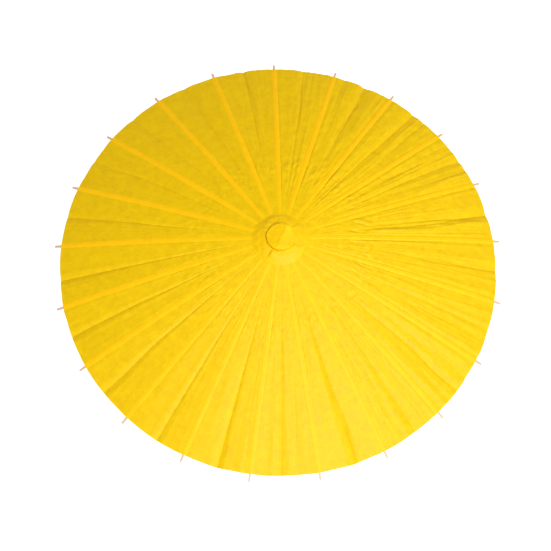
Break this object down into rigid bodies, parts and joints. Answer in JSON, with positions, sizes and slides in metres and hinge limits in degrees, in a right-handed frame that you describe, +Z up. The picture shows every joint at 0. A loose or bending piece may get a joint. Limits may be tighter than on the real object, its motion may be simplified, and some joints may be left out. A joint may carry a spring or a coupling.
{
  "type": "oil paper umbrella",
  "caption": "Open paper parasol: creased yellow paper canopy on folding bamboo ribs and stretchers, with a sliding runner, catch and turned wooden grip.",
  "frame": {"origin": "on the shaft's axis at the middle of the grip's straight length, where a hand or a stand's tube holds it", "axes": "+Z up the shaft towards the canopy; +Y along the first rib; the catch faces -Y"},
  "size_m": [0.8438, 0.8414, 0.5485],
  "materials": {
    "paper": "matte",
    "cap_paper": "matte",
    "bamboo": "satin",
    "shaft_wood": "satin",
    "turned_wood": "satin",
    "grip_wood": "gloss",
    "peg_wood": "matte",
    "card": "matte",
    "brass": "polished",
    "steel": "satin",
    "thread": "matte"
  },
  "bodies": {
    "frame": {"shaft": "shaft_wood", "grip": "grip_wood", "grip_ring": "brass", "butt_cap": "grip_wood", "top_hub": "turned_wood", "top_wire": "steel", "hub_pin": "peg_wood", "crown_disc": "card", "paper_canopy": "paper", "paper_cap": "cap_paper", "joint_thread": "thread", "catch_pin": "steel", "stop_pin": "peg_wood"},
    "runner": {"runner": "turned_wood", "runner_wire": "steel"},
    "catch": {"catch_spring": "steel"},
    "rib_01": {"rib_01": "bamboo"},
    "stretcher_01": {"stretcher_01": "bamboo"},
    "rib_02": {"rib_02": "bamboo"},
    "stretcher_02": {"stretcher_02": "bamboo"},
    "rib_03": {"rib_03": "bamboo"},
    "stretcher_03": {"stretcher_03": "bamboo"},
    "rib_04": {"rib_04": "bamboo"},
    "stretcher_04": {"stretcher_04": "bamboo"},
    "rib_05": {"rib_05": "bamboo"},
    "stretcher_05": {"stretcher_05": "bamboo"},
    "rib_06": {"rib_06": "bamboo"},
    "stretcher_06": {"stretcher_06": "bamboo"},
    "rib_07": {"rib_07": "bamboo"},
    "stretcher_07": {"stretcher_07": "bamboo"},
    "rib_08": {"rib_08": "bamboo"},
    "stretcher_08": {"stretcher_08": "bamboo"},
    "rib_09": {"rib_09": "bamboo"},
    "stretcher_09": {"stretcher_09": "bamboo"},
    "rib_10": {"rib_10": "bamboo"},
    "stretcher_10": {"stretcher_10": "bamboo"},
    "rib_11": {"rib_11": "bamboo"},
    "stretcher_11": {"stretcher_11": "bamboo"},
    "rib_12": {"rib_12": "bamboo"},
    "stretcher_12": {"stretcher_12": "bamboo"},
    "rib_13": {"rib_13": "bamboo"},
    "stretcher_13": {"stretcher_13": "bamboo"},
    "rib_14": {"rib_14": "bamboo"},
    "stretcher_14": {"stretcher_14": "bamboo"},
    "rib_15": {"rib_15": "bamboo"},
    "stretcher_15": {"stretcher_15": "bamboo"},
    "rib_16": {"rib_16": "bamboo"},
    "stretcher_16": {"stretcher_16": "bamboo"},
    "rib_17": {"rib_17": "bamboo"},
    "stretcher_17": {"stretcher_17": "bamboo"},
    "rib_18": {"rib_18": "bamboo"},
    "stretcher_18": {"stretcher_18": "bamboo"},
    "rib_19": {"rib_19": "bamboo"},
    "stretcher_19": {"stretcher_19": "bamboo"},
    "rib_20": {"rib_20": "bamboo"},
    "stretcher_20": {"stretcher_20": "bamboo"},
    "rib_21": {"rib_21": "bamboo"},
    "stretcher_21": {"stretcher_21": "bamboo"}
  },
  "joints": [
    {"name": "canopy_fold", "type": "hinge", "parent": "frame", "child": "rib_01", "pos_m": [0, 0.0185, 0.485], "axis": [-1, 0, 0], "range_deg": [0, 73.16], "deforming": ["paper_canopy", "joint_thread", "catch_spring"]},
    {"name": "stretcher_01_fold", "type": "hinge", "parent": "rib_01", "child": "stretcher_01", "pos_m": [0, 0.16364, 0.44924], "axis": [-1, 0, 0], "range_deg": [-146.32, 0]},
    {"name": "rib_02_fold", "type": "hinge", "parent": "frame", "child": "rib_02", "pos_m": [-0.00545, 0.01768, 0.485], "axis": [-0.9556, -0.2948, 0], "range_deg": [0, 73.16]},
    {"name": "stretcher_02_fold", "type": "hinge", "parent": "rib_02", "child": "stretcher_02", "pos_m": [-0.04823, 0.15637, 0.44924], "axis": [-0.9556, -0.2948, 0], "range_deg": [-146.32, 0]},
    {"name": "rib_03_fold", "type": "hinge", "parent": "frame", "child": "rib_03", "pos_m": [-0.01042, 0.01529, 0.485], "axis": [-0.8262, -0.5633, 0], "range_deg": [0, 73.16]},
    {"name": "stretcher_03_fold", "type": "hinge", "parent": "rib_03", "child": "stretcher_03", "pos_m": [-0.09218, 0.13521, 0.44924], "axis": [-0.8262, -0.5633, 0], "range_deg": [-146.32, 0]},
    {"name": "rib_04_fold", "type": "hinge", "parent": "frame", "child": "rib_04", "pos_m": [-0.01446, 0.01153, 0.485], "axis": [-0.6235, -0.7818, 0], "range_deg": [0, 73.16]},
    {"name": "stretcher_04_fold", "type": "hinge", "parent": "rib_04", "child": "stretcher_04", "pos_m": [-0.12794, 0.10203, 0.44924], "axis": [-0.6235, -0.7818, 0], "range_deg": [-146.32, 0]},
    {"name": "rib_05_fold", "type": "hinge", "parent": "frame", "child": "rib_05", "pos_m": [-0.01722, 0.00676, 0.485], "axis": [-0.3653, -0.9309, 0], "range_deg": [0, 73.16]},
    {"name": "stretcher_05_fold", "type": "hinge", "parent": "rib_05", "child": "stretcher_05", "pos_m": [-0.15233, 0.05978, 0.44924], "axis": [-0.3653, -0.9309, 0], "range_deg": [-146.32, 0]},
    {"name": "rib_06_fold", "type": "hinge", "parent": "frame", "child": "rib_06", "pos_m": [-0.01845, 0.00138, 0.485], "axis": [-0.0747, -0.9972, 0], "range_deg": [0, 73.16]},
    {"name": "stretcher_06_fold", "type": "hinge", "parent": "rib_06", "child": "stretcher_06", "pos_m": [-0.16318, 0.01223, 0.44924], "axis": [-0.0747, -0.9972, 0], "range_deg": [-146.32, 0]},
    {"name": "rib_07_fold", "type": "hinge", "parent": "frame", "child": "rib_07", "pos_m": [-0.01804, -0.00412, 0.485], "axis": [0.2225, -0.9749, 0], "range_deg": [0, 73.16]},
    {"name": "stretcher_07_fold", "type": "hinge", "parent": "rib_07", "child": "stretcher_07", "pos_m": [-0.15954, -0.03641, 0.44924], "axis": [0.2225, -0.9749, 0], "range_deg": [-146.32, 0]},
    {"name": "rib_08_fold", "type": "hinge", "parent": "frame", "child": "rib_08", "pos_m": [-0.01602, -0.00925, 0.485], "axis": [0.5, -0.866, 0], "range_deg": [0, 73.16]},
    {"name": "stretcher_08_fold", "type": "hinge", "parent": "rib_08", "child": "stretcher_08", "pos_m": [-0.14172, -0.08182, 0.44924], "axis": [0.5, -0.866, 0], "range_deg": [-146.32, 0]},
    {"name": "rib_09_fold", "type": "hinge", "parent": "frame", "child": "rib_09", "pos_m": [-0.01258, -0.01356, 0.485], "axis": [0.7331, -0.6802, 0], "range_deg": [0, 73.16]},
    {"name": "stretcher_09_fold", "type": "hinge", "parent": "rib_09", "child": "stretcher_09", "pos_m": [-0.1113, -0.11996, 0.44924], "axis": [0.7331, -0.6802, 0], "range_deg": [-146.32, 0]},
    {"name": "rib_10_fold", "type": "hinge", "parent": "frame", "child": "rib_10", "pos_m": [-0.00803, -0.01667, 0.485], "axis": [0.901, -0.4339, 0], "range_deg": [0, 73.16]},
    {"name": "stretcher_10_fold", "type": "hinge", "parent": "rib_10", "child": "stretcher_10", "pos_m": [-0.071, -0.14743, 0.44924], "axis": [0.901, -0.4339, 0], "range_deg": [-146.32, 0]},
    {"name": "rib_11_fold", "type": "hinge", "parent": "frame", "child": "rib_11", "pos_m": [-0.00276, -0.01829, 0.485], "axis": [0.9888, -0.149, 0], "range_deg": [0, 73.16]},
    {"name": "stretcher_11_fold", "type": "hinge", "parent": "rib_11", "child": "stretcher_11", "pos_m": [-0.02439, -0.16181, 0.44924], "axis": [0.9888, -0.149, 0], "range_deg": [-146.32, 0]},
    {"name": "rib_12_fold", "type": "hinge", "parent": "frame", "child": "rib_12", "pos_m": [0.00276, -0.01829, 0.485], "axis": [0.9888, 0.149, 0], "range_deg": [0, 73.16]},
    {"name": "stretcher_12_fold", "type": "hinge", "parent": "rib_12", "child": "stretcher_12", "pos_m": [0.02439, -0.16181, 0.44924], "axis": [0.9888, 0.149, 0], "range_deg": [-146.32, 0]},
    {"name": "rib_13_fold", "type": "hinge", "parent": "frame", "child": "rib_13", "pos_m": [0.00803, -0.01667, 0.485], "axis": [0.901, 0.4339, 0], "range_deg": [0, 73.16]},
    {"name": "stretcher_13_fold", "type": "hinge", "parent": "rib_13", "child": "stretcher_13", "pos_m": [0.071, -0.14743, 0.44924], "axis": [0.901, 0.4339, 0], "range_deg": [-146.32, 0]},
    {"name": "rib_14_fold", "type": "hinge", "parent": "frame", "child": "rib_14", "pos_m": [0.01258, -0.01356, 0.485], "axis": [0.7331, 0.6802, 0], "range_deg": [0, 73.16]},
    {"name": "stretcher_14_fold", "type": "hinge", "parent": "rib_14", "child": "stretcher_14", "pos_m": [0.1113, -0.11996, 0.44924], "axis": [0.7331, 0.6802, 0], "range_deg": [-146.32, 0]},
    {"name": "rib_15_fold", "type": "hinge", "parent": "frame", "child": "rib_15", "pos_m": [0.01602, -0.00925, 0.485], "axis": [0.5, 0.866, 0], "range_deg": [0, 73.16]},
    {"name": "stretcher_15_fold", "type": "hinge", "parent": "rib_15", "child": "stretcher_15", "pos_m": [0.14172, -0.08182, 0.44924], "axis": [0.5, 0.866, 0], "range_deg": [-146.32, 0]},
    {"name": "rib_16_fold", "type": "hinge", "parent": "frame", "child": "rib_16", "pos_m": [0.01804, -0.00412, 0.485], "axis": [0.2225, 0.9749, 0], "range_deg": [0, 73.16]},
    {"name": "stretcher_16_fold", "type": "hinge", "parent": "rib_16", "child": "stretcher_16", "pos_m": [0.15954, -0.03641, 0.44924], "axis": [0.2225, 0.9749, 0], "range_deg": [-146.32, 0]},
    {"name": "rib_17_fold", "type": "hinge", "parent": "frame", "child": "rib_17", "pos_m": [0.01845, 0.00138, 0.485], "axis": [-0.0747, 0.9972, 0], "range_deg": [0, 73.16]},
    {"name": "stretcher_17_fold", "type": "hinge", "parent": "rib_17", "child": "stretcher_17", "pos_m": [0.16318, 0.01223, 0.44924], "axis": [-0.0747, 0.9972, 0], "range_deg": [-146.32, 0]},
    {"name": "rib_18_fold", "type": "hinge", "parent": "frame", "child": "rib_18", "pos_m": [0.01722, 0.00676, 0.485], "axis": [-0.3653, 0.9309, 0], "range_deg": [0, 73.16]},
    {"name": "stretcher_18_fold", "type": "hinge", "parent": "rib_18", "child": "stretcher_18", "pos_m": [0.15233, 0.05978, 0.44924], "axis": [-0.3653, 0.9309, 0], "range_deg": [-146.32, 0]},
    {"name": "rib_19_fold", "type": "hinge", "parent": "frame", "child": "rib_19", "pos_m": [0.01446, 0.01153, 0.485], "axis": [-0.6235, 0.7818, 0], "range_deg": [0, 73.16]},
    {"name": "stretcher_19_fold", "type": "hinge", "parent": "rib_19", "child": "stretcher_19", "pos_m": [0.12794, 0.10203, 0.44924], "axis": [-0.6235, 0.7818, 0], "range_deg": [-146.32, 0]},
    {"name": "rib_20_fold", "type": "hinge", "parent": "frame", "child": "rib_20", "pos_m": [0.01042, 0.01529, 0.485], "axis": [-0.8262, 0.5633, 0], "range_deg": [0, 73.16]},
    {"name": "stretcher_20_fold", "type": "hinge", "parent": "rib_20", "child": "stretcher_20", "pos_m": [0.09218, 0.13521, 0.44924], "axis": [-0.8262, 0.5633, 0], "range_deg": [-146.32, 0]},
    {"name": "rib_21_fold", "type": "hinge", "parent": "frame", "child": "rib_21", "pos_m": [0.00545, 0.01768, 0.485], "axis": [-0.9556, 0.2948, 0], "range_deg": [0, 73.16]},
    {"name": "stretcher_21_fold", "type": "hinge", "parent": "rib_21", "child": "stretcher_21", "pos_m": [0.04823, 0.15637, 0.44924], "axis": [-0.9556, 0.2948, 0], "range_deg": [-146.32, 0]},
    {"name": "runner_turn", "type": "hinge", "parent": "stretcher_01", "child": "runner", "pos_m": [0, 0.0185, 0.41349], "axis": [-1, 0, 0], "range_deg": [0, 73.16]},
    {"name": "catch_press", "type": "hinge", "parent": "frame", "child": "catch", "pos_m": [0, 0, 0.33919], "axis": [-1, 0, 0], "range_deg": [0, 7.5], "stiffness_Nm_per_rad": 0.6}
  ],
  "couplings": [
    {"joint": "stretcher_01_fold", "follows": "canopy_fold", "ratio": -2},
    {"joint": "rib_02_fold", "follows": "canopy_fold", "ratio": 1},
    {"joint": "stretcher_02_fold", "follows": "canopy_fold", "ratio": -2},
    {"joint": "rib_03_fold", "follows": "canopy_fold", "ratio": 1},
    {"joint": "stretcher_03_fold", "follows": "canopy_fold", "ratio": -2},
    {"joint": "rib_04_fold", "follows": "canopy_fold", "ratio": 1},
    {"joint": "stretcher_04_fold", "follows": "canopy_fold", "ratio": -2},
    {"joint": "rib_05_fold", "follows": "canopy_fold", "ratio": 1},
    {"joint": "stretcher_05_fold", "follows": "canopy_fold", "ratio": -2},
    {"joint": "rib_06_fold", "follows": "canopy_fold", "ratio": 1},
    {"joint": "stretcher_06_fold", "follows": "canopy_fold", "ratio": -2},
    {"joint": "rib_07_fold", "follows": "canopy_fold", "ratio": 1},
    {"joint": "stretcher_07_fold", "follows": "canopy_fold", "ratio": -2},
    {"joint": "rib_08_fold", "follows": "canopy_fold", "ratio": 1},
    {"joint": "stretcher_08_fold", "follows": "canopy_fold", "ratio": -2},
    {"joint": "rib_09_fold", "follows": "canopy_fold", "ratio": 1},
    {"joint": "stretcher_09_fold", "follows": "canopy_fold", "ratio": -2},
    {"joint": "rib_10_fold", "follows": "canopy_fold", "ratio": 1},
    {"joint": "stretcher_10_fold", "follows": "canopy_fold", "ratio": -2},
    {"joint": "rib_11_fold", "follows": "canopy_fold", "ratio": 1},
    {"joint": "stretcher_11_fold", "follows": "canopy_fold", "ratio": -2},
    {"joint": "rib_12_fold", "follows": "canopy_fold", "ratio": 1},
    {"joint": "stretcher_12_fold", "follows": "canopy_fold", "ratio": -2},
    {"joint": "rib_13_fold", "follows": "canopy_fold", "ratio": 1},
    {"joint": "stretcher_13_fold", "follows": "canopy_fold", "ratio": -2},
    {"joint": "rib_14_fold", "follows": "canopy_fold", "ratio": 1},
    {"joint": "stretcher_14_fold", "follows": "canopy_fold", "ratio": -2},
    {"joint": "rib_15_fold", "follows": "canopy_fold", "ratio": 1},
    {"joint": "stretcher_15_fold", "follows": "canopy_fold", "ratio": -2},
    {"joint": "rib_16_fold", "follows": "canopy_fold", "ratio": 1},
    {"joint": "stretcher_16_fold", "follows": "canopy_fold", "ratio": -2},
    {"joint": "rib_17_fold", "follows": "canopy_fold", "ratio": 1},
    {"joint": "stretcher_17_fold", "follows": "canopy_fold", "ratio": -2},
    {"joint": "rib_18_fold", "follows": "canopy_fold", "ratio": 1},
    {"joint": "stretcher_18_fold", "follows": "canopy_fold", "ratio": -2},
    {"joint": "rib_19_fold", "follows": "canopy_fold", "ratio": 1},
    {"joint": "stretcher_19_fold", "follows": "canopy_fold", "ratio": -2},
    {"joint": "rib_20_fold", "follows": "canopy_fold", "ratio": 1},
    {"joint": "stretcher_20_fold", "follows": "canopy_fold", "ratio": -2},
    {"joint": "rib_21_fold", "follows": "canopy_fold", "ratio": 1},
    {"joint": "stretcher_21_fold", "follows": "canopy_fold", "ratio": -2},
    {"joint": "runner_turn", "follows": "canopy_fold", "ratio": 1}
  ]
}
